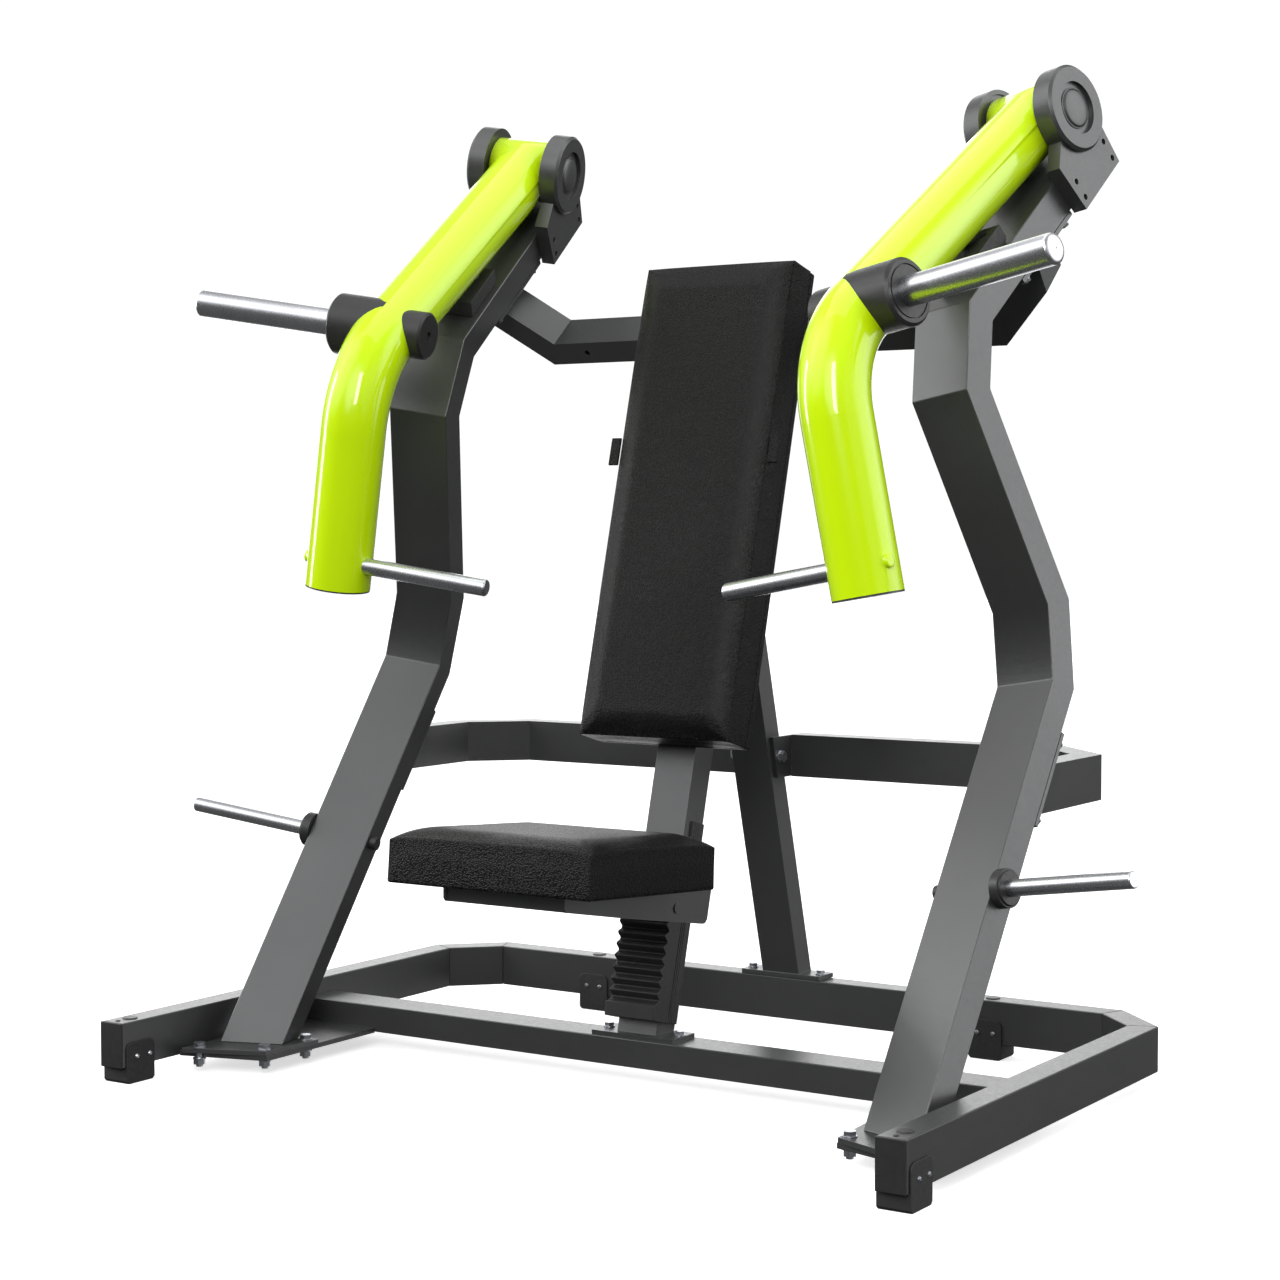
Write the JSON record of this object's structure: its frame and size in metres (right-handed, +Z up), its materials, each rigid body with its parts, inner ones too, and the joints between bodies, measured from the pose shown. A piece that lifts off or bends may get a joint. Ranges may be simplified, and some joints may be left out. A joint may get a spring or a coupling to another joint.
{
  "type": "chest press machine",
  "caption": "Plate-loaded chest press: two converging tubular arms with horns for plates, hung from leaning uprights over a height-adjustable seat and a tall backrest.",
  "frame": {"origin": "on the floor, under the middle of the machine's bounding box", "axes": "+Z up, the user sits facing -Y, +X is to the user's left-hand side seen from the front, which is the machine's right as pictured"},
  "size_m": [1.924, 1.0897, 1.7801],
  "materials": {
    "frame_paint": "satin powder coat",
    "lime_paint": "high gloss",
    "chrome": "satin chrome",
    "zinc_hardware": "zinc plated",
    "black_plastic": "moulded",
    "black_rubber": "matte",
    "black_vinyl": "pebbled vinyl"
  },
  "bodies": {
    "frame": {"base_side_rail_left": "frame_paint", "base_side_rail_right": "frame_paint", "base_corner_left": "frame_paint", "base_corner_right": "frame_paint", "base_rear_rail": "frame_paint", "base_cross_bar": "frame_paint", "rail_end_caps": "black_plastic", "rail_plugs": "black_plastic", "rubber_foot_front_left": "black_rubber", "rubber_foot_front_right": "black_rubber", "rubber_foot_rear_left": "black_rubber", "rubber_foot_rear_right": "black_rubber", "foot_screws": "zinc_hardware", "gusset_plate_left": "frame_paint", "gusset_plate_right": "frame_paint", "upright_foot_left": "frame_paint", "upright_foot_right": "frame_paint", "upright_left": "frame_paint", "upright_right": "frame_paint", "base_bolts": "zinc_hardware", "upper_cross_bar": "frame_paint", "upper_bar_flanges": "frame_paint", "mid_band_left": "frame_paint", "mid_band_right": "frame_paint", "frame_bolts": "zinc_hardware", "rear_post": "frame_paint", "seat_column": "frame_paint", "column_gussets": "frame_paint", "seat_rack": "black_plastic", "rack_side_strips": "black_plastic", "backrest_pad": "black_vinyl", "backrest_board": "black_plastic", "backrest_brackets": "frame_paint", "backrest_tabs": "black_plastic", "storage_peg_left": "chrome", "storage_peg_right": "chrome", "peg_collars": "black_plastic", "head_bracket_outer_left": "frame_paint", "head_bracket_inner_left": "frame_paint", "head_bracket_outer_right": "frame_paint", "head_bracket_inner_right": "frame_paint", "head_caps": "frame_paint", "pivot_shaft_left": "zinc_hardware", "pivot_shaft_right": "zinc_hardware", "stop_block_left": "black_rubber", "stop_block_right": "black_rubber"},
    "left_arm": {"arm_left": "lime_paint", "arm_fittings_left": "black_plastic", "weight_horn_left": "chrome", "hand_grip_left": "chrome"},
    "right_arm": {"arm_right": "lime_paint", "arm_fittings_right": "black_plastic", "weight_horn_right": "chrome", "hand_grip_right": "chrome"},
    "seat_guide": {"guide_roller": "black_plastic"},
    "seat": {"seat_pad": "black_vinyl", "seat_board": "black_plastic", "seat_carriage": "frame_paint", "latch_bar": "zinc_hardware", "carriage_bolts": "frame_paint"}
  },
  "joints": [
    {"name": "right_arm_pivot", "type": "hinge", "parent": "frame", "child": "right_arm", "pos_m": [0.54733, 0.40924, 1.68998], "axis": [-0.9614, 0.2257, -0.1573], "range_deg": [0, 50]},
    {"name": "left_arm_pivot", "type": "hinge", "parent": "frame", "child": "left_arm", "pos_m": [-0.54733, 0.40924, 1.68998], "axis": [-0.9614, -0.2257, 0.1573], "range_deg": [0, 50]},
    {"name": "seat_slide", "type": "slide", "parent": "frame", "child": "seat_guide", "axis": [0, 0.2607, 0.9654], "range_m": [-0.1, 0.085]},
    {"name": "seat_tilt", "type": "hinge", "parent": "seat_guide", "child": "seat", "pos_m": [0, 0.117, 0.352], "axis": [-1, 0, 0], "range_deg": [0, 12]}
  ]
}
